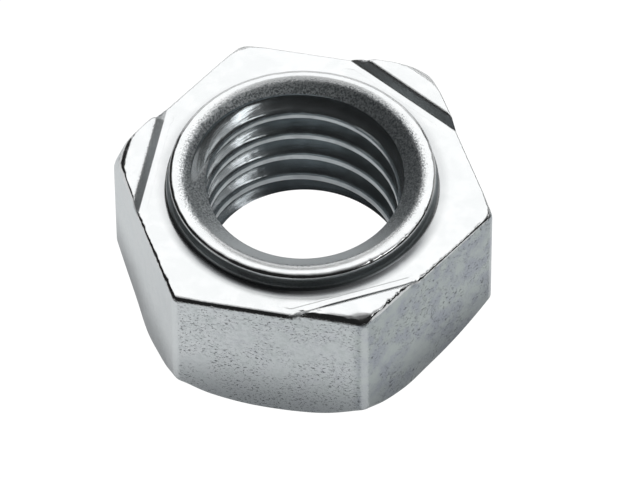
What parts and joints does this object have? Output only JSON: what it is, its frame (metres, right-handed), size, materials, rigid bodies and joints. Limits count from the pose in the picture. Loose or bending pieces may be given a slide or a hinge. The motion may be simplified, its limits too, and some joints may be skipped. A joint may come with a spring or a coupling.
{
  "type": "hex weld nut",
  "caption": "Hexagonal projection weld nut with a round pilot collar, a raised weld projection on every second corner and a tapped through bore, zinc-plated.",
  "frame": {"origin": "on the thread axis, in the plane of the flat base", "axes": "+Z along the thread axis from the base to the weld side and the collar; +X through a corner without a weld projection"},
  "size_m": [0.0206, 0.018, 0.0093],
  "materials": {
    "zinc_plated_steel": "bright zinc plate over forged and tapped steel, satin on the flats"
  },
  "bodies": {
    "root": {"weld_nut": "zinc_plated_steel"}
  },
  "joints": []
}
